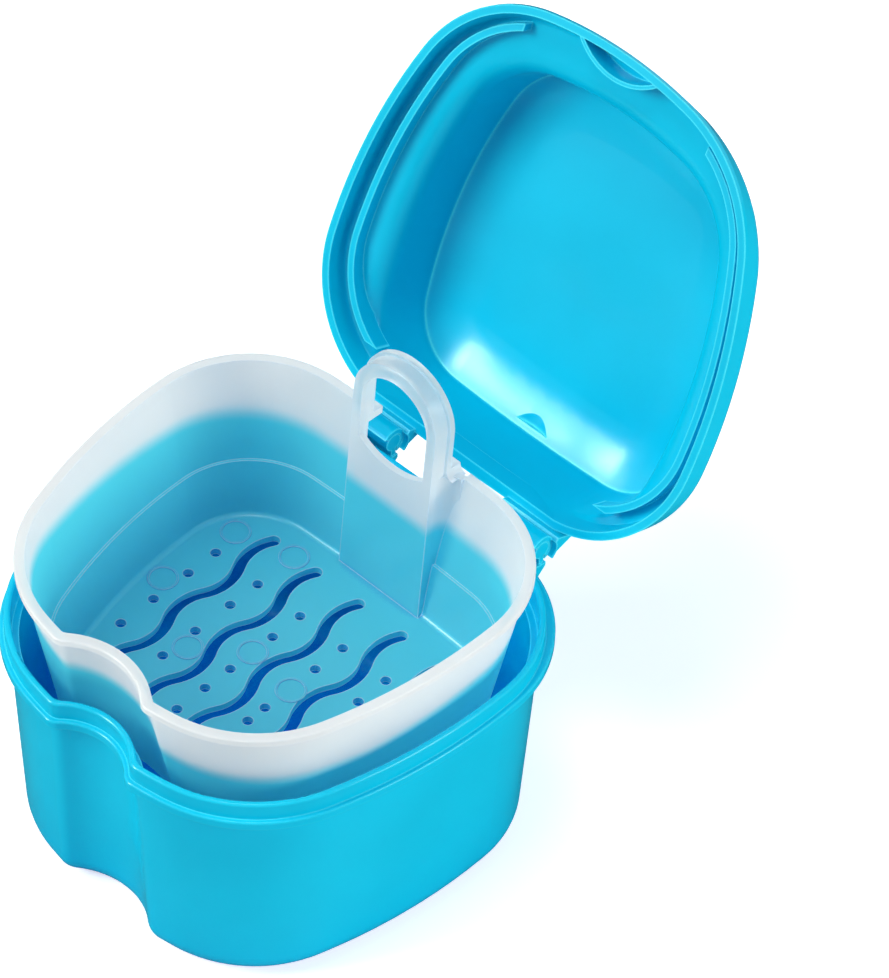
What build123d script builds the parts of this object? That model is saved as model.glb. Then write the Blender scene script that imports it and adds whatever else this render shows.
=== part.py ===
from build123d import *

import os
from math import cos, radians, sin, sqrt, tan

# Denture case: a drafted box with a thumb notch at the front, a deep domed lid on
# two snap hinges at the rear, and a perforated basket that lifts out by a handle.
# Millimetres. X is the width, -Y the front, +Z up; the origin is the middle of the
# bottom. The lid is drawn closed, the basket seated, and both are then moved to the
# open position in which the case is used.

# ---- plan shape, a chain of tangent arcs, measured at the rim flange ----
WIDTH = 90.0
FRONT_Y = -43.7
REAR_Y = 43.7
WIDEST_Y = 13.9
FRONT_R = 86.6
SIDE_R = 116.2
REAR_R = 399.0
FRONT_CORNER_X = 15.0
REAR_CORNER_X = 18.9
NOTCH_Y = -50.3
NOTCH_R = 11.5
RIM_LOBE_R = 2.9
WALL_LOBE_R = 3.2

# ---- base box ----
BASE_H = 52.6
BODY_REAR_Y = 42.4
FLOOR_T = 2.0
WALL_T = 1.9
WALL_DRAFT = 2.1
FLANGE_STEP = 1.7
FLANGE_DROP = 5.8
FLANGE_T = 2.1
LIP_STEP = 0.9
LIP_T = 1.25
LIP_COVE_R = 0.45
LEDGE_DROP = 5.6
LEDGE_W = 1.4
BASE_BOTTOM_R = 6.5
EDGE_R = 0.4
LIP_EDGE_R = 0.5

# ---- hinge, one at each side of the rear middle ----
HINGE_Y = 46.13
HINGE_DROP = 3.06
HINGE_X = 18.4
HOOK_W = 11.2
PLATE_W = 13.7
BLOCK_W = 12.0
PIN_R = 1.8
PIN_FIT = 0.08
HOOK_T = 1.1
WEB_T = 1.2
WEB_GAP = 0.25
HOOK_GAP = 0.3
BLOCK_REAR_Y = 46.9
BLOCK_EDGE_DROP = 4.14
BLOCK_FOOT_DROP = 11.04
PLATE_TOP_RISE = 6.5
PLATE_REACH = 1.4
LID_OPEN = 115.5

# ---- lid, drawn closed ----
LID_GAP = 0.3
LID_REAR_Y = 43.9
LID_STEP = 0.9
LID_T = 1.6
SKIRT_H = 4.0
SHOULDER_R = 2.2
SHOULDER_TURN = 80.0
SHELF_W = 5.3
COVE_R = 3.0
DOME_LEAN = 8.0
FRONT_EDGE_H = 1.0
FRONT_SETBACK = 3.0
DOME_REAR_DRAFT = 1.9
DOME_H = 22.6
CROWN_RISE = 2.5
CROWN_W = 11.0
SEAL_RIB_STEP = 4.6
SEAL_RIB_T = 1.4
SEAL_RIB_RECESS = 2.5
SEAL_RIB_TOP = 6.4
SEAL_RIB_FRONT_X = 21.7
SEAL_RIB_REAR_Y = 35.8
NOTCH_RIB_R = 12.6
NOTCH_RIB_T = 0.8
NOTCH_RIB_RECESS = 0.3
POCKET_HALF_W = 9.0
POCKET_TOP = 19.8
POCKET_FRONT_Y = 31.0
POCKET_REAR_Y = 39.5
PAD_T = 0.7
PAD_HALF_W = 12.0
PAD_H = 5.2
SIDE_PAD_HALF_W = 29.0
SIDE_PAD_H = 7.3

# ---- basket, drawn seated ----
BASKET_REAR_Y = 42.0
BASKET_RIM_STEP = 3.0
BASKET_LIP = 0.8
BASKET_T = 1.15
BASKET_DEPTH = 33.9
BASKET_DRAFT = 5.8
BASKET_FLOOR_T = 1.5
BASKET_CORNER_R = 3.0
BASKET_FLOOR_R = 1.0
BASKET_RIM_T = 1.3
BASKET_RIM_EDGE_R = 0.35
BASKET_SEAT_GAP = 0.3
BASKET_LIFT = 18.5
BASKET_LOBE_R = 2.6
STEP_H = 12.0
STEP_T = 0.5

# column in the basket's rear wall and the handle that carries it on above the rim
HANDLE_HALF_W = 9.9
HANDLE_T = 1.3
HANDLE_LEAN = 3.7
HANDLE_RISE = 10.4
HANDLE_DEPTH = 4.4
HANDLE_LIP = 0.6
HANDLE_LIP_T = 1.2
HANDLE_FOOT_R = 1.6
HANDLE_FOOT_DEPTH = 3.6
COLUMN_FRONT_Y = 29.3
COLUMN_FLARE_Y = 31.0
COLUMN_FLARE_R = 3.0
HOLE_HALF_W = 7.9
HOLE_RISE = 9.4
HOLE_CORNER_DROP = 0.6
HOLE_SAG = 2.6

# drainage in the basket floor
SLOT_COUNT = 5
SLOT_PITCH = 10.75
SLOT_W = 2.4
SLOT_REAR_Y = 24.3
WAVE_COUNT = 5
WAVE_HALF = 8.95
WAVE_AMPLITUDE = 1.2
HOLE_D = 2.0
HOLE_ROWS_Y = (14.8, 7.8, -9.2)
HOLE_CENTRE_ROW_Y = -16.2
HOLE_STAGGER_Y = (-1.0, -1.0, -2.9, -4.9, -4.9, -4.9)

# ---- sizes that follow ----
FRONT_CORNER_R = WIDTH / 2 - FRONT_CORNER_X
REAR_CORNER_R = WIDTH / 2 - REAR_CORNER_X
FLANGE_BOTTOM_Z = BASE_H - FLANGE_DROP
LEDGE_Z = BASE_H - LEDGE_DROP
HINGE_Z = BASE_H - HINGE_DROP
BLOCK_EDGE_Z = HINGE_Z - BLOCK_EDGE_DROP
BLOCK_FOOT_Z = HINGE_Z - BLOCK_FOOT_DROP
RIM_Z = BASE_H + LID_GAP
LEDGE_STEP = LIP_STEP + LIP_T + LEDGE_W
BASKET_RIM_Z = LEDGE_Z + BASKET_SEAT_GAP + BASKET_RIM_T
BASKET_FLOOR_Z = BASKET_RIM_Z - BASKET_DEPTH


def crossing(centre_a, radius_a, centre_b, radius_b, towards):
    """Where two circles cross, taking the point that lies further towards a direction."""
    span = centre_b - centre_a
    along = (radius_a**2 - radius_b**2 + span.length**2) / (2 * span.length)
    across = Vector(-span.Y, span.X).normalized() * sqrt(radius_a**2 - along**2)
    foot = centre_a + span.normalized() * along
    return max(foot + across, foot - across, key=lambda point: point.dot(towards))


def touch(centre, radius, through):
    """The point at a radius from a centre, in the direction of another point."""
    return centre + (through - centre).normalized() * radius


def bow(start, end, centre, radius):
    """Start, middle and end of the shorter arc about a centre."""
    middle = touch(centre, radius, (start + end) * 0.5)
    return [start, middle, end]


def outline(inset, z, front_y=FRONT_Y, rear=REAR_Y, lobe=RIM_LOBE_R, notched=True):
    """Closed wire of the plan shape, pulled in by an inset, at a height."""
    front = Vector(0, front_y + FRONT_R)
    side = Vector(WIDTH / 2 - SIDE_R, WIDEST_Y)
    back = Vector(0, rear - REAR_R)
    notch = Vector(0, NOTCH_Y)
    fore = crossing(front, FRONT_R - FRONT_CORNER_R, side, SIDE_R - FRONT_CORNER_R, Vector(1, -1))
    aft = crossing(back, REAR_R - REAR_CORNER_R, side, SIDE_R - REAR_CORNER_R, Vector(1, 1))

    front_r = FRONT_R - inset
    side_r = SIDE_R - inset
    rear_r = REAR_R - inset
    front_end = touch(front, front_r, fore)
    side_start = touch(side, side_r, fore)
    side_end = touch(side, side_r, aft)
    rear_start = touch(back, rear_r, aft)

    right = []
    first = Vector(0, front_y + inset)
    if notched:
        notch_r = NOTCH_R + inset
        nose = crossing(front, front_r - lobe, notch, notch_r + lobe, Vector(1, -1))
        nose_start = touch(notch, notch_r, nose)
        nose_end = touch(front, front_r, nose)
        right.append(bow(nose_start, nose_end, nose, lobe))
        right.append(bow(nose_end, front_end, front, front_r))
        first = Vector(0, NOTCH_Y + notch_r)
    right.append(bow(front_end, side_start, fore, FRONT_CORNER_R - inset))
    right.append(bow(side_start, side_end, side, side_r))
    right.append(bow(side_end, rear_start, aft, REAR_CORNER_R - inset))

    left = [[mirrored(point) for point in reversed(arc)] for arc in reversed(right)]
    rear_arc = [rear_start, Vector(0, rear - inset), left[0][0]]
    first_arc = [left[-1][-1], first, right[0][0]]
    arcs = [first_arc] + right + [rear_arc] + left
    lift = Vector(0, 0, z)
    return Wire([Edge.make_three_point_arc(*[point + lift for point in arc]) for arc in arcs])


def mirrored(point):
    return Vector(-point.X, point.Y, point.Z)


def slab(inset, bottom, top, **shape):
    """Upright block of the plan shape between two heights."""
    return extrude(Face(outline(inset, bottom, **shape)), top - bottom)


def cup(top_inset, draft, bottom, top, corner, **shape):
    """Tapered block of the plan shape with a rounded bottom edge."""
    foot_inset = top_inset + draft
    wall_start = outline(foot_inset, bottom + corner, **shape)
    wall_end = outline(top_inset, top, **shape)
    wall = Solid.make_loft([wall_start, wall_end], True)
    rounding = []
    for turn in (0, 18, 36, 54, 72, 90):
        inset = foot_inset + corner * (1 - sin(radians(turn)))
        rounding.append(outline(inset, bottom + corner * (1 - cos(radians(turn))), **shape))
    return wall + Solid.make_loft(rounding, False)


def across(profile, width, centre_x=0.0):
    """A profile drawn on the YZ plane, given a width along X about a place."""
    return Pos(centre_x, 0, 0) * extrude(Plane.YZ * profile, width / 2, both=True)


def hinge_block():
    """Cradle under one hinge: a gusset on the rear wall, a web and the pin on top."""
    wall_y = BODY_REAR_Y - FLANGE_STEP - WALL_T / 2
    gusset = Polygon(
        (wall_y, BLOCK_FOOT_Z),
        (BLOCK_REAR_Y, BLOCK_EDGE_Z),
        (BLOCK_REAR_Y, HINGE_Z - PIN_R - HOOK_T),
        (wall_y, FLANGE_BOTTOM_Z + FLANGE_T / 2),
        align=None,
    )
    web_h = HINGE_Z - BLOCK_EDGE_Z
    web = Pos(HINGE_Y, HINGE_Z - web_h / 2) * Rectangle(WEB_T, web_h)
    pin = Pos(HINGE_Y, HINGE_Z) * Circle(PIN_R)
    block = across(gusset, BLOCK_W) - across(hook_room(), BLOCK_W + HOOK_GAP)
    return block + across(web, HOOK_W) + across(pin, HOOK_W)


def hook_room():
    """The round space that a hook turns in."""
    return Pos(HINGE_Y, HINGE_Z) * Circle(PIN_R + PIN_FIT + HOOK_T + HOOK_GAP)


def cove(inset, radius, bottom, **shape):
    """Hollow foot round a block of the plan shape, where it meets the flat under it."""
    sections = []
    for turn in (0, 30, 60, 90):
        step = inset - radius * (1 - sin(radians(turn)))
        sections.append(outline(step, bottom + radius * (1 - cos(radians(turn))), **shape))
    return Solid.make_loft(sections, False)


def base():
    """The box: drafted wall, floor, outward flange, lip and two hinge blocks."""
    flange_top = FLANGE_BOTTOM_Z + FLANGE_T
    rim = slab(0, FLANGE_BOTTOM_Z, flange_top)
    rim = fillet(rim.edges().filter_by(lambda e: e.length > 1).group_by(Axis.Z)[0], EDGE_R)
    rim = fillet(rim.edges().group_by(Axis.Z)[-1], EDGE_R)
    body = {"rear": BODY_REAR_Y}
    mouth = slab(LIP_STEP + LIP_T, LEDGE_Z, BASE_H, **body)
    lip = slab(LIP_STEP, FLANGE_BOTTOM_Z, BASE_H, **body) - mouth
    lip = fillet(lip.edges().group_by(Axis.Z)[-1], LIP_EDGE_R)
    foot = cove(LIP_STEP, LIP_COVE_R, flange_top, **body)

    outer = {"rear": BODY_REAR_Y, "lobe": WALL_LOBE_R}
    inner = {"rear": BODY_REAR_Y, "lobe": WALL_LOBE_R - WALL_T}
    outside = cup(FLANGE_STEP, WALL_DRAFT, 0, FLANGE_BOTTOM_Z, BASE_BOTTOM_R, **outer)
    cavity_r = BASE_BOTTOM_R - WALL_T
    cavity = cup(LEDGE_STEP, WALL_DRAFT, FLOOR_T, LEDGE_Z, cavity_r, **inner)
    shell = (outside + rim + foot - mouth) + lip - cavity

    for side in (-1, 1):
        place = Pos(side * HINGE_X, 0, 0)
        shell = shell - place * across(hook_room(), BLOCK_W + HOOK_GAP)
        shell = shell + place * hinge_block()
    return shell - cavity - mouth


def lid_section(inset, height, skin, crown=0.0):
    """Plan shape of the lid at a height over the rim.

    Its rear wall is nearly upright and its front leans back from just over the rim.
    """
    crease_h = DOME_H - CROWN_RISE
    rear_y = LID_REAR_Y - skin - DOME_REAR_DRAFT * min(height, crease_h) / crease_h - crown
    lean = (height - FRONT_EDGE_H) / (SKIRT_H + SHOULDER_R - FRONT_EDGE_H)
    front_y = FRONT_Y + FRONT_SETBACK * min(max(lean, 0), 1)
    return outline(inset, RIM_Z + height, front_y, rear_y + inset, notched=False)


def dome(skin):
    """Filled shape of the lid, a skin inside its outer surface.

    From the rim up: an upright skirt, a round shoulder, a wide shelf, a hollow cove,
    a steep wall and, over a crease, a gently crowned top.
    """
    centre = LID_STEP + SHOULDER_R
    shoulder_r = SHOULDER_R - skin
    shoulder = []
    for share in range(6):
        turn = radians(SHOULDER_TURN * share / 5)
        shoulder.append((centre - shoulder_r * cos(turn), SKIRT_H + shoulder_r * sin(turn)))

    reach = SHOULDER_R + COVE_R
    shelf_turn = radians(SHOULDER_TURN)
    cove_inset = centre - reach * cos(shelf_turn) + SHELF_W * sin(shelf_turn)
    cove_h = SKIRT_H + reach * sin(shelf_turn) + SHELF_W * cos(shelf_turn)
    cove_r = COVE_R + skin
    hollow = []
    for share in range(5):
        turn = radians(SHOULDER_TURN + (DOME_LEAN - SHOULDER_TURN) * share / 4)
        hollow.append((cove_inset + cove_r * cos(turn), cove_h - cove_r * sin(turn)))

    crease_h = DOME_H - CROWN_RISE - skin
    last_inset, last_h = hollow[-1]
    crease_inset = last_inset + (crease_h - last_h) * tan(radians(DOME_LEAN))
    crown = []
    for share in range(6):
        along = share / 5
        rise = CROWN_RISE * (1 - (1 - along) ** 2)
        crown.append((crease_inset + CROWN_W * along, crease_h + rise, CROWN_W * along))

    edge_h = [0, FRONT_EDGE_H, SKIRT_H]
    skirt = [lid_section(LID_STEP + skin, height, skin) for height in edge_h]
    shelf = [lid_section(*shoulder[-1], skin), lid_section(*hollow[0], skin)]
    wall = [lid_section(*hollow[-1], skin), lid_section(crease_inset, crease_h, skin)]
    body = Solid.make_loft(skirt, True)
    body = body + Solid.make_loft([lid_section(i, h, skin) for i, h in shoulder], False)
    body = body + Solid.make_loft(shelf, True)
    body = body + Solid.make_loft([lid_section(i, h, skin) for i, h in hollow], False)
    body = body + Solid.make_loft(wall, True)
    top = [lid_section(i, h, skin, back) for i, h, back in crown]
    return body + Solid.make_loft(top, False)


def seal_rib():
    """Two thin ribs inside the rim, one along each side, that close over the box's lip."""
    shape = {"rear": LID_REAR_Y, "notched": False}
    bottom = RIM_Z + SEAL_RIB_RECESS
    top = RIM_Z + SEAL_RIB_TOP
    ring = slab(SEAL_RIB_STEP, bottom, top, **shape)
    ring = ring - slab(SEAL_RIB_STEP + SEAL_RIB_T, bottom, top, **shape)
    front = Pos(0, FRONT_Y, top) * Box(2 * SEAL_RIB_FRONT_X, REAR_Y, 2 * SEAL_RIB_TOP)
    rear = Pos(0, SEAL_RIB_REAR_Y + REAR_Y / 2, top) * Box(WIDTH, REAR_Y, 2 * SEAL_RIB_TOP)
    return ring - front - rear


def notch_rib():
    """Curved rib at the front of the lid, over the thumb notch of the box."""
    tube = Circle(NOTCH_RIB_R + NOTCH_RIB_T) - Circle(NOTCH_RIB_R)
    place = Pos(0, NOTCH_Y, RIM_Z + NOTCH_RIB_RECESS)
    return place * extrude(tube, DOME_H / 2)


def rear_pads():
    """Thickened bands inside the lid's rear wall, which carry the hinge arms."""
    pads = []
    for half_w, height in ((PAD_HALF_W, PAD_H), (SIDE_PAD_HALF_W, SIDE_PAD_H)):
        front_y = LID_REAR_Y - LID_T - PAD_T
        pads.append(Pos(0, front_y + PAD_T, RIM_Z + height / 2) * Box(2 * half_w, 2 * PAD_T, height))
    middle, sides = pads
    gap = Pos(0, LID_REAR_Y, RIM_Z) * Box(2 * PAD_HALF_W, 2 * LID_T + 4 * PAD_T, 4 * SIDE_PAD_H)
    return middle + (sides - gap)


def handle_pocket():
    """Arched recess in the lid's top that leaves room for the basket's handle."""
    profile = arch(POCKET_HALF_W, RIM_Z + POCKET_TOP - POCKET_HALF_W, RIM_Z + SKIRT_H)
    depth = POCKET_REAR_Y - POCKET_FRONT_Y
    return Pos(0, POCKET_REAR_Y, 0) * extrude(Plane.XZ * profile, depth)


def lid():
    """The lid as it lies closed: domed shell, ribs, pads and two hinge arms."""
    outer = dome(0)
    inner = dome(LID_T)
    shell = outer - inner - handle_pocket()
    shell = shell + ((seal_rib() + notch_rib() + rear_pads()) & outer)
    arm = hinge_arm() - inner
    for side in (-1, 1):
        shell = shell + Pos(side * HINGE_X, 0, 0) * arm
    return shell


def hinge_arm():
    """Plate from the rear of the lid's skirt, ending in a hook that snaps on the pin."""
    bore_r = PIN_R + PIN_FIT
    hook_r = bore_r + HOOK_T
    root_y = LID_REAR_Y - LID_T / 2
    plate = Polygon(
        (root_y, RIM_Z + HOOK_GAP),
        (root_y, HINGE_Z + PLATE_TOP_RISE),
        (HINGE_Y, HINGE_Z + hook_r),
        (HINGE_Y + PLATE_REACH, HINGE_Z + hook_r - EDGE_R),
        (HINGE_Y + PLATE_REACH, HINGE_Z),
        (HINGE_Y - hook_r, HINGE_Z + bore_r),
        (HINGE_Y - hook_r, RIM_Z),
        align=None,
    )
    axis = Pos(HINGE_Y, HINGE_Z)
    opening_half = WEB_T / 2 + WEB_GAP
    reach = 2 * hook_r
    down = axis * Pos(0, -reach / 2) * Rectangle(2 * opening_half, reach)
    up = axis * Rot(0, 0, LID_OPEN) * Pos(0, -reach / 2) * Rectangle(2 * opening_half, reach)
    sector = axis * Polygon(
        (0, 0),
        (0, -reach),
        (reach, -reach),
        (reach * sin(radians(LID_OPEN)), -reach * cos(radians(LID_OPEN))),
        align=None,
    )
    hook = axis * Circle(hook_r)
    cut = axis * Circle(bore_r) + down + up + sector
    return across(plate - cut - axis * Circle(hook_r - EDGE_R), PLATE_W) + across(hook - cut, HOOK_W)


def basket_cavity():
    """Inside of the basket: drafted, with a small step in the wall above the floor."""
    slope = BASKET_DRAFT / BASKET_DEPTH
    rim_inset = BASKET_RIM_STEP + BASKET_LIP + BASKET_T
    step_inset = rim_inset + slope * (BASKET_DEPTH - STEP_H)
    step_z = BASKET_FLOOR_Z + STEP_H
    shape = {"rear": BASKET_REAR_Y, "lobe": BASKET_LOBE_R - BASKET_T}
    lower = cup(
        step_inset + STEP_T, slope * STEP_H, BASKET_FLOOR_Z, step_z, BASKET_FLOOR_R, **shape
    )
    step_edge = outline(step_inset, step_z, **shape)
    rim_edge = outline(rim_inset, BASKET_RIM_Z, **shape)
    return lower + Solid.make_loft([step_edge, rim_edge], True)


def column(skin, top_z):
    """Leaning block at the rear of the basket, with its sides flared into the wall."""
    bottom_z = BASKET_FLOOR_Z - BASKET_FLOOR_T
    rise = top_z - bottom_z
    half = HANDLE_HALF_W - skin
    flare_x = HANDLE_HALF_W + COLUMN_FLARE_R
    flare_y = COLUMN_FLARE_Y + COLUMN_FLARE_R + skin
    corner = (COLUMN_FLARE_R + skin) * (1 - sqrt(0.5))
    side = ThreePointArc(
        (half, COLUMN_FLARE_Y),
        (half + corner, flare_y - corner),
        (flare_x, flare_y),
    )
    edges = [Line((0, COLUMN_FRONT_Y + skin), (half, COLUMN_FRONT_Y + skin))]
    edges.append(Line((half, COLUMN_FRONT_Y + skin), (half, COLUMN_FLARE_Y)))
    edges.append(side)
    edges.append(Line((flare_x, flare_y), (flare_x, REAR_Y + HANDLE_DEPTH)))
    edges.append(Line((flare_x, REAR_Y + HANDLE_DEPTH), (0, REAR_Y + HANDLE_DEPTH)))
    edges.append(Line((0, REAR_Y + HANDLE_DEPTH), (0, COLUMN_FRONT_Y + skin)))
    half_plan = make_face(edges)
    plan = Pos(0, 0, bottom_z) * (half_plan + mirror(half_plan, Plane.YZ))
    return extrude(plan, rise, dir=(0, tan(radians(HANDLE_LEAN)), 1))


def arch(half_width, spring, foot):
    """Upright arch: straight sides from a foot height, a half circle above the spring."""
    post = Pos(0, (foot + spring) / 2) * Rectangle(2 * half_width, spring - foot)
    return post + Pos(0, spring) * Circle(half_width)


def handle():
    """Arched grip above the rim: a face plate, a flange behind it and a turned-out lip."""
    tilt = radians(HANDLE_LEAN)
    rim = BASKET_DEPTH / cos(tilt)
    spring = rim + HANDLE_RISE
    outer = arch(HANDLE_HALF_W, spring, rim - HOLE_SAG)
    face = extrude(outer, -HANDLE_T)
    flange = extrude(outer - arch(HANDLE_HALF_W - HANDLE_T, spring, 0), -HANDLE_DEPTH)
    flange = flange - Pos(0, rim - HANDLE_DEPTH, 0) * Box(
        2 * WIDTH, 2 * HANDLE_DEPTH, 3 * HANDLE_DEPTH
    )

    lip_half = HANDLE_HALF_W + HANDLE_LIP
    foot = Pos(0, rim + HANDLE_FOOT_R / 2) * Rectangle(
        2 * (lip_half + HANDLE_FOOT_R), HANDLE_FOOT_R
    )
    for side in (-1, 1):
        foot = foot - Pos(side * (lip_half + HANDLE_FOOT_R), rim + HANDLE_FOOT_R) * Circle(
            HANDLE_FOOT_R
        )
    inside = arch(HANDLE_HALF_W - HANDLE_T, spring, 0)
    lip_place = Pos(0, 0, HANDLE_LIP_T - HANDLE_DEPTH)
    lip = lip_place * extrude(arch(lip_half, spring, rim) - inside, -HANDLE_LIP_T)
    lip = lip + lip_place * extrude(foot - inside, -HANDLE_FOOT_DEPTH)

    hole_foot = rim - HOLE_CORNER_DROP
    bottom = ThreePointArc(
        (-HOLE_HALF_W, hole_foot),
        (0, hole_foot - HOLE_SAG),
        (HOLE_HALF_W, hole_foot),
    )
    hole = make_face([bottom, Line(bottom @ 1, bottom @ 0)])
    hole = hole + arch(HOLE_HALF_W, rim + HOLE_RISE, hole_foot)
    hole = Pos(0, 0, HANDLE_T) * extrude(hole, -3 * HANDLE_T)

    lean = Plane(
        origin=(0, COLUMN_FRONT_Y + BASKET_FLOOR_T * tan(tilt), BASKET_FLOOR_Z),
        x_dir=(1, 0, 0),
        z_dir=(0, -cos(tilt), sin(tilt)),
    )
    return lean * (face + flange + lip), lean * hole


def slot_cutter():
    """One wavy drainage slot: a chain of arcs with round ends."""
    arcs = []
    for index in range(WAVE_COUNT):
        swing = WAVE_AMPLITUDE if index % 2 else -WAVE_AMPLITUDE
        start_y = SLOT_REAR_Y - index * WAVE_HALF
        arcs.append(
            Edge.make_three_point_arc(
                Vector(0, start_y),
                Vector(swing, start_y - WAVE_HALF / 2),
                Vector(0, start_y - WAVE_HALF),
            )
        )
    slot = Face(Wire(arcs).offset_2d(SLOT_W / 2))
    return Pos(0, 0, BASKET_FLOOR_Z - 2 * BASKET_FLOOR_T) * extrude(slot, 3 * BASKET_FLOOR_T)


def drainage():
    """All the slots and round holes of the basket floor."""
    cutters = []
    for index in range(SLOT_COUNT):
        x = (index - (SLOT_COUNT - 1) / 2) * SLOT_PITCH
        cutters.append(Pos(x, 0, 0) * slot_cutter())
    for index, stagger_y in enumerate(HOLE_STAGGER_Y):
        x = (index - SLOT_COUNT / 2) * SLOT_PITCH
        rows = [*HOLE_ROWS_Y, stagger_y]
        if abs(x) < SLOT_PITCH:
            rows.append(HOLE_CENTRE_ROW_Y)
        for y in rows:
            cutters.append(Pos(x, y, BASKET_FLOOR_Z) * Cylinder(HOLE_D / 2, 3 * BASKET_FLOOR_T))
    return cutters


def basket():
    """Drafted, perforated basket with a rim lip, and a handle that rises from its rear."""
    bottom = BASKET_FLOOR_Z - BASKET_FLOOR_T
    shape = {"rear": BASKET_REAR_Y, "lobe": BASKET_LOBE_R}
    wall_inset = BASKET_RIM_STEP + BASKET_LIP
    outside = cup(wall_inset, BASKET_DRAFT, bottom, BASKET_RIM_Z, BASKET_CORNER_R, **shape)
    rim = slab(BASKET_RIM_STEP, BASKET_RIM_Z - BASKET_RIM_T, BASKET_RIM_Z, **shape)
    rim = fillet(rim.edges().group_by(Axis.Z)[-1], BASKET_RIM_EDGE_R)
    grip, grip_hole = handle()
    shell = outside + rim
    shell = shell - (basket_cavity() - column(0, BASKET_RIM_Z + HANDLE_T))
    shell = shell - column(HANDLE_T, BASKET_RIM_Z + HANDLE_T)
    shell = shell + grip - grip_hole
    return shell - drainage()


def write(name, body):
    """Writes one finished part, where it stands in the open case."""
    export_step(body, f"parts/{name}.step")


if __name__ == "__main__":
    os.makedirs("parts", exist_ok=True)
    hinge_axis = Axis((0, HINGE_Y, HINGE_Z), (1, 0, 0))
    write("base", base())
    write("lid", lid().rotate(hinge_axis, -LID_OPEN))
    write("basket", Pos(0, 0, BASKET_LIFT) * basket())
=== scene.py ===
from math import cos, radians, sin

import bpy
from mathutils import Matrix, Vector


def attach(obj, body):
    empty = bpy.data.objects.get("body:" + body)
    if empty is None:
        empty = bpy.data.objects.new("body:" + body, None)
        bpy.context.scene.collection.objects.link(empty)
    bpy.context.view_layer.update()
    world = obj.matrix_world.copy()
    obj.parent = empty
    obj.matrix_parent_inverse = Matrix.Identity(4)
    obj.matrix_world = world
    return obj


# Denture case: a cyan box with a deep domed lid that stands open on two rear hinges,
# and a frosted drainage basket lifted out of the box by its handle. Lengths in metres.
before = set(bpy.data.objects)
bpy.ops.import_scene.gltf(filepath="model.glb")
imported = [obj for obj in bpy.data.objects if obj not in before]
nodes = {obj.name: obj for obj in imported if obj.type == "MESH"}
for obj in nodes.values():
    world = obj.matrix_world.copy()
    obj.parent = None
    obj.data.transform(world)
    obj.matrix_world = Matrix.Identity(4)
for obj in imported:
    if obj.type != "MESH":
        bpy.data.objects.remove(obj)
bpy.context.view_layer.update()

# ---- Camera ----
# A long lens, high over the case's front right corner, looking down into the basket
# and into the open lid.
AZIMUTH = radians(42.08)
ELEVATION = radians(47.75)
ROLL = radians(2.34)
DISTANCE = 1.10
AIM = Vector((0.00664, 0.03883, 0.05795))
back = Vector((
    sin(AZIMUTH) * cos(ELEVATION),
    -cos(AZIMUTH) * cos(ELEVATION),
    sin(ELEVATION),
))
level = Vector((cos(AZIMUTH), sin(AZIMUTH), 0))
upright = back.cross(level)
across = level * cos(ROLL) + upright * sin(ROLL)
upwards = upright * cos(ROLL) - level * sin(ROLL)
camera = bpy.data.objects.new("camera", bpy.data.cameras.new("camera"))
bpy.context.scene.collection.objects.link(camera)
camera.data.sensor_width = 36
camera.data.lens = 227.6
camera.data.clip_start = 0.05
camera.data.clip_end = 10
camera.matrix_world = (
    Matrix.Translation(AIM + back * DISTANCE)
    @ Matrix((across, upwards, back)).transposed().to_4x4()
)
bpy.context.scene.camera = camera


# ---- Box and lid ----
# Both shells are injection moulded polypropylene, pigmented a clear cyan. The lid's
# hooks snap over the pins of the box, so the two need no other part to hold together.
def colour(hex_code):
    """An sRGB hex code as the linear colour that a shader takes."""
    channels = [int(hex_code[i:i + 2], 16) / 255 for i in (1, 3, 5)]
    linear = [
        c / 12.92 if c <= 0.04045 else ((c + 0.055) / 1.055) ** 2.4 for c in channels
    ]
    return (*linear, 1)


def node(owner, kind, settings=None, links=None, stops=()):
    """Adds a shader node with its settings, its links and a colour ramp's stops.

    A key is the name of an input, or its number where several inputs share a name.
    """
    made = owner.node_tree.nodes.new(kind)
    for key, value in (settings or {}).items():
        if isinstance(key, int) or key in made.inputs:
            made.inputs[key].default_value = value
        else:
            setattr(made, key, value)
    for key, output in (links or {}).items():
        owner.node_tree.links.new(output, made.inputs[key])
    for number, (position, hex_code) in enumerate(stops):
        made.color_ramp.elements[number].position = position
        made.color_ramp.elements[number].color = colour(hex_code)
    return made


def blank_material(name):
    """A material with no nodes but its output."""
    material = bpy.data.materials.new(name)
    material.use_nodes = True
    material.node_tree.nodes.clear()
    return material, node(material, "ShaderNodeOutputMaterial")


def edge_light(material, radius):
    """How strongly a surface turns within a radius, 0 on a face and 1 along its edges:
    the mask of the painted edge highlights.
    """
    FACE_COSINE, EDGE_COSINE = 0.995, 0.85
    rounded = node(material, "ShaderNodeBevel", {"samples": 6, "Radius": radius})
    flat = node(material, "ShaderNodeNewGeometry")
    turn = node(material, "ShaderNodeVectorMath", {"operation": "DOT_PRODUCT"},
                {0: rounded.outputs["Normal"], 1: flat.outputs["Normal"]})
    light = node(material, "ShaderNodeMapRange",
                 {"From Min": FACE_COSINE, "From Max": EDGE_COSINE},
                 {"Value": turn.outputs["Value"]})
    return light.outputs["Result"]
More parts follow.
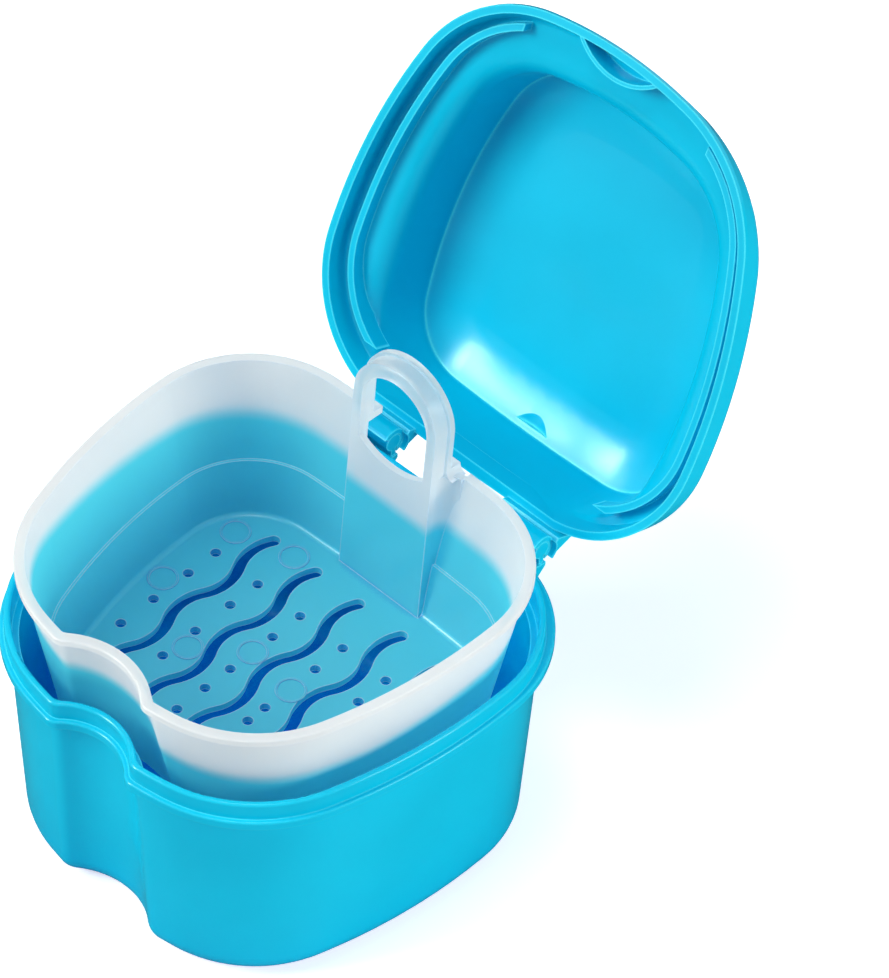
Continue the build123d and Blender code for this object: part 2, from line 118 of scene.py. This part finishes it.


# Glossy moulded polypropylene, pigmented through. The pigment flows in faint clouds,
# which keep large faces from looking flat, and the polish varies with them. The skin
# carries the slight grain of the mould. Rims and the crease inside the lid are painted
# paler, a painted highlight along their edges, and enclosed places low in the box are
# painted a deep blue, as painted shade where little light reaches.
#
# A pattern's scale is worked out from its size in millimetres, and a pair of values
# gives where an effect starts and where it is full.
CLOUD_MM = 22.2
GRAIN_MM = 1.11
POLISH = {"To Min": 0.18, "To Max": 0.24}
BOX_REACH = 0.06
BOX_ENCLOSED = (0.3, 0.05)
BOX_DEEP_Z = (0.042, 0.022)
RIM_RADIUS = 0.0006
LID_OPEN = radians(115.5)
DOME_START = (0.0353, 0.0368)
CREASE_RADIUS = 0.0013
# A Mix node has sockets for each kind of data. These are the numbers of the colour ones.
SHARE, FIRST, SECOND, BLEND = 0, 6, 7, 2
gloss_pp, output = blank_material("cyan_moulded_polypropylene")
place = node(gloss_pp, "ShaderNodeTexCoord").outputs["Object"]
cloud = node(gloss_pp, "ShaderNodeTexNoise",
             {"Scale": 1000 / CLOUD_MM, "Detail": 2, "Roughness": 0.4},
             {"Vector": place})
pigment = node(gloss_pp, "ShaderNodeValToRGB", links={"Fac": cloud.outputs["Fac"]},
               stops=((0.35, "#02C2E3"), (0.65, "#02C8E9")))
polish = node(gloss_pp, "ShaderNodeMapRange", POLISH, {"Value": cloud.outputs["Fac"]})
grain = node(gloss_pp, "ShaderNodeTexNoise", {"Scale": 1000 / GRAIN_MM, "Detail": 3},
             {"Vector": place})
skin = node(gloss_pp, "ShaderNodeBump", {"Strength": 0.05, "Distance": 0.00005},
            {"Height": grain.outputs["Fac"]})
# Painted shade: places low in the box that see little of their surroundings are painted
# a deep blue.
hollow = node(gloss_pp, "ShaderNodeAmbientOcclusion",
              {"samples": 4, "Distance": BOX_REACH})
enclosed = node(gloss_pp, "ShaderNodeMapRange",
                {"From Min": BOX_ENCLOSED[0], "From Max": BOX_ENCLOSED[1]},
                {"Value": hollow.outputs["AO"]})
spot = node(gloss_pp, "ShaderNodeSeparateXYZ", links={"Vector": place})
low_down = node(gloss_pp, "ShaderNodeMapRange",
                {"From Min": BOX_DEEP_Z[0], "From Max": BOX_DEEP_Z[1]},
                {"Value": spot.outputs["Z"]})
deep = node(gloss_pp, "ShaderNodeMath", {"operation": "MULTIPLY"},
            {0: enclosed.outputs["Result"], 1: low_down.outputs["Result"]})
box_painted_shade = node(gloss_pp, "ShaderNodeMix",
                {"data_type": "RGBA", SECOND: colour("#0058D8")},
                {SHARE: deep.outputs["Value"], FIRST: pigment.outputs["Color"]})
# Painted highlight: rims and edges are painted a paler cyan.
rims_painted_highlight = node(gloss_pp, "ShaderNodeMix",
                {"data_type": "RGBA", SECOND: colour("#50F0FF")},
                {SHARE: edge_light(gloss_pp, RIM_RADIUS),
                 FIRST: box_painted_shade.outputs[BLEND]})
# Painted highlight: the crease inside the lid's dome is painted as a light cyan line.
into_lid = node(gloss_pp, "ShaderNodeVectorMath",
                {"operation": "DOT_PRODUCT", 1: (0, sin(LID_OPEN), cos(LID_OPEN))},
                {0: place})
in_dome = node(gloss_pp, "ShaderNodeMapRange",
               {"From Min": DOME_START[0], "From Max": DOME_START[1]},
               {"Value": into_lid.outputs["Value"]})
crease = node(gloss_pp, "ShaderNodeMath", {"operation": "MULTIPLY"},
              {0: edge_light(gloss_pp, CREASE_RADIUS), 1: in_dome.outputs["Result"]})
crease_painted_highlight = node(gloss_pp, "ShaderNodeMix",
                  {"data_type": "RGBA", SECOND: colour("#60FFFF")},
                  {SHARE: crease.outputs["Value"], FIRST: rims_painted_highlight.outputs[BLEND]})
plastic = node(gloss_pp, "ShaderNodeBsdfPrincipled",
               {"IOR": 1.49, "Specular IOR Level": 0.3,
                "Specular Tint": colour("#D0F0FC")},
               {"Base Color": crease_painted_highlight.outputs[BLEND],
                "Roughness": polish.outputs["Result"],
                "Normal": skin.outputs["Normal"]})
gloss_pp.node_tree.links.new(plastic.outputs["BSDF"], output.inputs["Surface"])
for name in ("base", "lid"):
    for held in nodes[name].material_slots:
        held.material = gloss_pp


# ---- Basket ----
# A thin tray of natural polypropylene with a frosted skin, moulded with its handle.
# It hangs by its rim in the box, and its floor is pierced so that the liquid drains.

# The plastic is milky and lets part of the light through, so it is partly translucent,
# its thin handle is clearer than its wall, and it throws only a faint shadow. Low down
# its colour is painted with the box's cyan, a painted show-through of the light from the
# box. That line falls a little to the rear, and lies lower on the front right wall.
# Edges are painted white, a painted highlight, and the cut walls of the slots and holes
# in the floor are painted deep blue, as painted shade. The frost's real grain is too
# fine to show, and is drawn coarser.
HAZE_MM = 16.7
FROST_MM = 0.714
TINT_FALL = 0.1
OUTER_WALL = (0.006, 0.032)
OUTER_DROP = 0.0085
TINT_Z = (0.0606, 0.0564)
SLOT_REACH = 0.004
SLOT_ENCLOSED = (0.52, 0.34)
FLOOR_CUT_Z = (0.0340, 0.0331)
EDGE_RADIUS = 0.0003
HANDLE_Z = (0.067, 0.072)
WALL_CLEAR, HANDLE_CLEAR = 0.36, 0.8
GLOW_SHARE = 0.2
PASSING_SHARE = 0.65
frosted_pp, output = blank_material("frosted_natural_polypropylene")
place = node(frosted_pp, "ShaderNodeTexCoord").outputs["Object"]
haze = node(frosted_pp, "ShaderNodeTexNoise", {"Scale": 1000 / HAZE_MM, "Detail": 2},
            {"Vector": place})
milk = node(frosted_pp, "ShaderNodeValToRGB", links={"Fac": haze.outputs["Fac"]},
            stops=((0.3, "#FCF8F2"), (0.7, "#FFFCF6")))
spot = node(frosted_pp, "ShaderNodeSeparateXYZ", links={"Vector": place})
sloped = node(frosted_pp, "ShaderNodeMath",
              {"operation": "MULTIPLY_ADD", 1: TINT_FALL},
              {0: spot.outputs["Y"], 2: spot.outputs["Z"]})
outward = node(frosted_pp, "ShaderNodeVectorMath",
               {"operation": "DOT_PRODUCT", 1: Vector((1, -1, 0)).normalized()},
               {0: place})
drop = node(frosted_pp, "ShaderNodeMapRange",
            {"From Min": OUTER_WALL[0], "From Max": OUTER_WALL[1],
             "To Max": OUTER_DROP},
            {"Value": outward.outputs["Value"]})
height = node(frosted_pp, "ShaderNodeMath", {"operation": "ADD"},
              {0: sloped.outputs["Value"], 1: drop.outputs["Result"]})
# Painted show-through: low on the wall the colour is painted with the box's cyan, which
# stands in for the box's light.
tint = node(frosted_pp, "ShaderNodeMapRange",
            {"interpolation_type": "SMOOTHSTEP",
             "From Min": TINT_Z[0], "From Max": TINT_Z[1]},
            {"Value": height.outputs["Value"]})
painted_box_cyan = node(frosted_pp, "ShaderNodeMix",
              {"data_type": "RGBA", SECOND: colour("#68E8F0")},
              {SHARE: tint.outputs["Result"], FIRST: milk.outputs["Color"]})
# Painted shade: the narrow cut walls of the slots and holes in the floor are painted
# deep blue.
narrow = node(frosted_pp, "ShaderNodeAmbientOcclusion",
              {"samples": 4, "Distance": SLOT_REACH})
sunk = node(frosted_pp, "ShaderNodeMapRange",
            {"From Min": SLOT_ENCLOSED[0], "From Max": SLOT_ENCLOSED[1]},
            {"Value": narrow.outputs["AO"]})
side = node(frosted_pp, "ShaderNodeNewGeometry")
outer_side = node(frosted_pp, "ShaderNodeMapRange", {"To Min": 1.0, "To Max": 0.0},
                  {"Value": side.outputs["Backfacing"]})
sunk_outside = node(frosted_pp, "ShaderNodeMath", {"operation": "MULTIPLY"},
                    {0: sunk.outputs["Result"], 1: outer_side.outputs["Result"]})
in_floor = node(frosted_pp, "ShaderNodeMapRange",
                {"From Min": FLOOR_CUT_Z[0], "From Max": FLOOR_CUT_Z[1]},
                {"Value": spot.outputs["Z"]})
in_slot = node(frosted_pp, "ShaderNodeMath", {"operation": "MULTIPLY"},
               {0: sunk_outside.outputs["Value"], 1: in_floor.outputs["Result"]})
slots_painted_shade = node(frosted_pp, "ShaderNodeMix",
                  {"data_type": "RGBA", SECOND: colour("#0848D0")},
                  {SHARE: in_slot.outputs["Value"], FIRST: painted_box_cyan.outputs[BLEND]})
# Painted highlight: the basket's edges are painted white.
edges_painted_highlight = node(frosted_pp, "ShaderNodeMix",
                   {"data_type": "RGBA", SECOND: colour("#FFFFFF")},
                   {SHARE: edge_light(frosted_pp, EDGE_RADIUS),
                    FIRST: slots_painted_shade.outputs[BLEND]})
frost = node(frosted_pp, "ShaderNodeTexNoise",
             {"Scale": 1000 / FROST_MM, "Detail": 2}, {"Vector": place})
matt_skin = node(frosted_pp, "ShaderNodeBump", {"Strength": 0.12, "Distance": 0.0001},
                 {"Height": frost.outputs["Fac"]})
clear = node(frosted_pp, "ShaderNodeMapRange",
             {"From Min": HANDLE_Z[0], "From Max": HANDLE_Z[1],
              "To Min": WALL_CLEAR, "To Max": HANDLE_CLEAR},
             {"Value": spot.outputs["Z"]})
plastic = node(frosted_pp, "ShaderNodeBsdfPrincipled",
               {"IOR": 1.49, "Specular IOR Level": 0.4, "Roughness": 0.3},
               {"Base Color": edges_painted_highlight.outputs[BLEND],
                "Transmission Weight": clear.outputs["Result"],
                "Normal": matt_skin.outputs["Normal"]})
glow = node(frosted_pp, "ShaderNodeBsdfTranslucent",
            links={"Color": edges_painted_highlight.outputs[BLEND]})
wall = node(frosted_pp, "ShaderNodeMixShader", {0: GLOW_SHARE},
            {1: plastic.outputs["BSDF"], 2: glow.outputs["BSDF"]})
seen = node(frosted_pp, "ShaderNodeLightPath")
lighting = node(frosted_pp, "ShaderNodeMath", {"operation": "MAXIMUM"},
                {0: seen.outputs["Is Shadow Ray"], 1: seen.outputs["Is Diffuse Ray"]})
let_through = node(frosted_pp, "ShaderNodeMath",
                   {"operation": "MULTIPLY", 1: PASSING_SHARE},
                   {0: lighting.outputs["Value"]})
passing = node(frosted_pp, "ShaderNodeBsdfTransparent", {"Color": colour("#E6F2FF")})
thin_wall = node(frosted_pp, "ShaderNodeMixShader", links={
    0: let_through.outputs["Value"], 1: wall.outputs["Shader"],
    2: passing.outputs["BSDF"]})
frosted_pp.node_tree.links.new(thin_wall.outputs["Shader"], output.inputs["Surface"])
for held in nodes["basket"].material_slots:
    held.material = frosted_pp


# ---- Ejector rings ----
# The mould's round ejector pins leave shallow raised rings between the slots of the
# basket's floor. They are part of the moulding, so they share its plastic, and the
# lower half of each is sunk in the floor.
RING_RADIUS = 0.0029
RING_WIDTH = 0.00045
RING_HEIGHT = 0.0004
RING_EDGE = RING_WIDTH / 5
FLOOR_TOP = 0.0332
RING_PLACES = [
    (-0.0279, 0.0209), (-0.0292, 0.0037), (-0.0161, 0.0241),
    (-0.0143, -0.0047), (-0.0053, 0.0027), (0.0058, 0.0012),
]
bpy.ops.object.select_all(action="DESELECT")
bpy.ops.mesh.primitive_cylinder_add(
    vertices=64, radius=RING_RADIUS, depth=RING_HEIGHT)
ring = bpy.context.active_object
bpy.ops.object.mode_set(mode="EDIT")
bpy.ops.mesh.select_mode(type="FACE")
bpy.ops.mesh.select_all(action="DESELECT")
bpy.ops.object.mode_set(mode="OBJECT")
for face in ring.data.polygons:
    face.select = abs(face.normal.z) > 0.9
bpy.ops.object.mode_set(mode="EDIT")
bpy.ops.mesh.inset(thickness=RING_WIDTH)
bpy.ops.mesh.bridge_edge_loops()
bpy.ops.mesh.select_all(action="SELECT")
bpy.ops.mesh.bevel(offset=RING_EDGE, segments=2, affect="EDGES")
bpy.ops.mesh.normals_make_consistent(inside=False)
bpy.ops.object.mode_set(mode="OBJECT")
ring.data.materials.append(frosted_pp)
bpy.ops.object.shade_smooth_by_angle(angle=radians(40))
for number, (x, y) in enumerate(RING_PLACES, start=1):
    mark = ring.copy()
    mark.data = ring.data.copy()
    mark.name = f"ejector_ring_{number}"
    bpy.context.scene.collection.objects.link(mark)
    mark.data.transform(Matrix.Translation((x, y, FLOOR_TOP)))
    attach(mark, "basket")
bpy.data.objects.remove(ring, do_unlink=True)


# ---- Floor ----
# A plain sheet of white paper. It glows a little to the camera and through clear
# plastic, so that it stays white while it keeps the case's shadow, and it is darker in
# reflections, as a sheet is that ends beside the case.
FLOOR_SIZE = 8
PAPER_WHITE, PAPER_REFLECTED = 0.9, 0.10
PAPER_LIFT = 0.60
bpy.ops.object.select_all(action="DESELECT")
bpy.ops.mesh.primitive_plane_add(size=FLOOR_SIZE)
floor = bpy.context.active_object
floor.name = "floor"
paper, output = blank_material("white_paper")
seen = node(paper, "ShaderNodeLightPath")
sheet = node(paper, "ShaderNodeMapRange",
             {"To Min": PAPER_WHITE, "To Max": PAPER_REFLECTED},
             {"Value": seen.outputs["Is Glossy Ray"]})
matt = node(paper, "ShaderNodeBsdfDiffuse", links={"Color": sheet.outputs["Result"]})
direct = node(paper, "ShaderNodeMath", {"operation": "MAXIMUM"},
              {0: seen.outputs["Is Camera Ray"],
               1: seen.outputs["Is Transmission Ray"]})
strength = node(paper, "ShaderNodeMath", {"operation": "MULTIPLY", 1: PAPER_LIFT},
                {0: direct.outputs["Value"]})
lift = node(paper, "ShaderNodeEmission", {"Color": colour("#FFFFFF")},
            {"Strength": strength.outputs["Value"]})
both = node(paper, "ShaderNodeAddShader", links={
    0: matt.outputs["BSDF"], 1: lift.outputs["Emission"]})
paper.node_tree.links.new(both.outputs["Shader"], output.inputs["Surface"])
floor.data.materials.append(paper)


# ---- Lamps and sky ----
# Three warm soft boxes and a fourth that only adds the sheen in the lid, under a pale
# blue sky. The camera, clear plastic and reflections see plain white in its place.
WARM_WHITE = (1, 0.98, 0.88)
CASE = Vector((0, 0.03, 0.05))


def soft_box(name, place, size, power, sheen_only=False):
    """A rectangular area lamp at a place, turned to the case."""
    lamp = bpy.data.objects.new(name, bpy.data.lights.new(name, "AREA"))
    bpy.context.scene.collection.objects.link(lamp)
    lamp.data.shape = "RECTANGLE"
    lamp.data.size, lamp.data.size_y = size
    lamp.data.energy = power
    lamp.data.color = WARM_WHITE
    lamp.visible_diffuse = not sheen_only
    lamp.location = place
    lamp.rotation_mode = "QUATERNION"
    lamp.rotation_quaternion = (CASE - Vector(place)).to_track_quat("-Z", "Y")


soft_box("key_box", (-0.51, -0.70, 0.69), (0.45, 0.45), 8.4)
soft_box("sheen_box", (-0.47, -0.86, 0.50), (0.14, 0.42), 12, sheen_only=True)
soft_box("side_box", (0.95, 0.25, 0.35), (0.3, 0.3), 6)
soft_box("top_box", (0.0, -0.1, 1.1), (0.3, 0.3), 3)

sky = bpy.data.worlds.new("sky")
sky.use_nodes = True
bpy.context.scene.world = sky
sky.node_tree.nodes.clear()
seen = node(sky, "ShaderNodeLightPath")
lit = node(sky, "ShaderNodeBackground", {"Color": colour("#A8CCFF"), "Strength": 0.30})
shown = node(sky, "ShaderNodeBackground", {"Color": colour("#FFFFFF"), "Strength": 1.0})
through = node(sky, "ShaderNodeMath", {"operation": "MAXIMUM"},
               {0: seen.outputs["Is Camera Ray"],
                1: seen.outputs["Is Transmission Ray"]})
looked_at = node(sky, "ShaderNodeMath", {"operation": "MAXIMUM"},
                 {0: through.outputs["Value"], 1: seen.outputs["Is Glossy Ray"]})
choice = node(sky, "ShaderNodeMixShader", links={
    0: looked_at.outputs["Value"], 1: lit.outputs["Background"],
    2: shown.outputs["Background"]})
output = node(sky, "ShaderNodeOutputWorld")
sky.node_tree.links.new(choice.outputs["Shader"], output.inputs["Surface"])

bpy.context.scene.view_settings.view_transform = "Standard"
